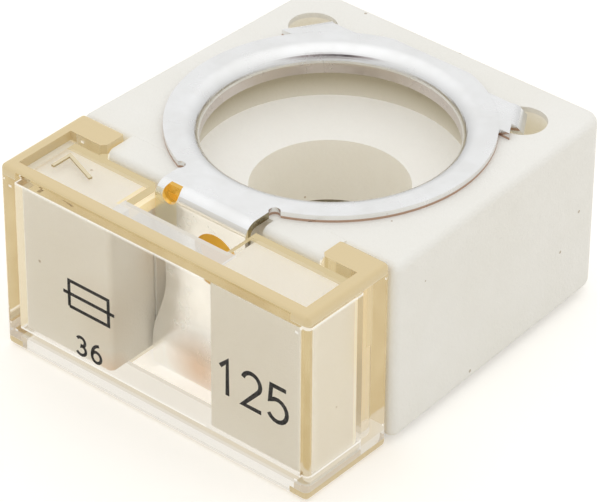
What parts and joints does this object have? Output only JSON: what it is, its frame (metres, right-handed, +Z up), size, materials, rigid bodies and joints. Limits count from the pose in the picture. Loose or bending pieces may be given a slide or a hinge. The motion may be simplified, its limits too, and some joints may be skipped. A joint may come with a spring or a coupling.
{
  "type": "fuse",
  "caption": "Square ceramic block fuse with a stud bore, a contact ring above and below, and a folded link behind a clear front cover.",
  "frame": {"origin": "on the stud axis, at half the height between the two contact faces", "axes": "+Z up along the stud axis, +Y from the clear cover towards the block's rear face, +X to the right when the cover is seen from the front"},
  "size_m": [0.021, 0.024, 0.0114],
  "materials": {
    "ceramic": "matte, pressed and fired, off-white",
    "tinned_copper": "bright tin plating on copper sheet, with bare copper at the stamped edges",
    "clear_amber": "polished, transparent, faintly amber, darker where seen edge on"
  },
  "bodies": {
    "root": {"ceramic_body": "ceramic", "fuse_element": "tinned_copper", "window_cover": "clear_amber"}
  },
  "joints": []
}
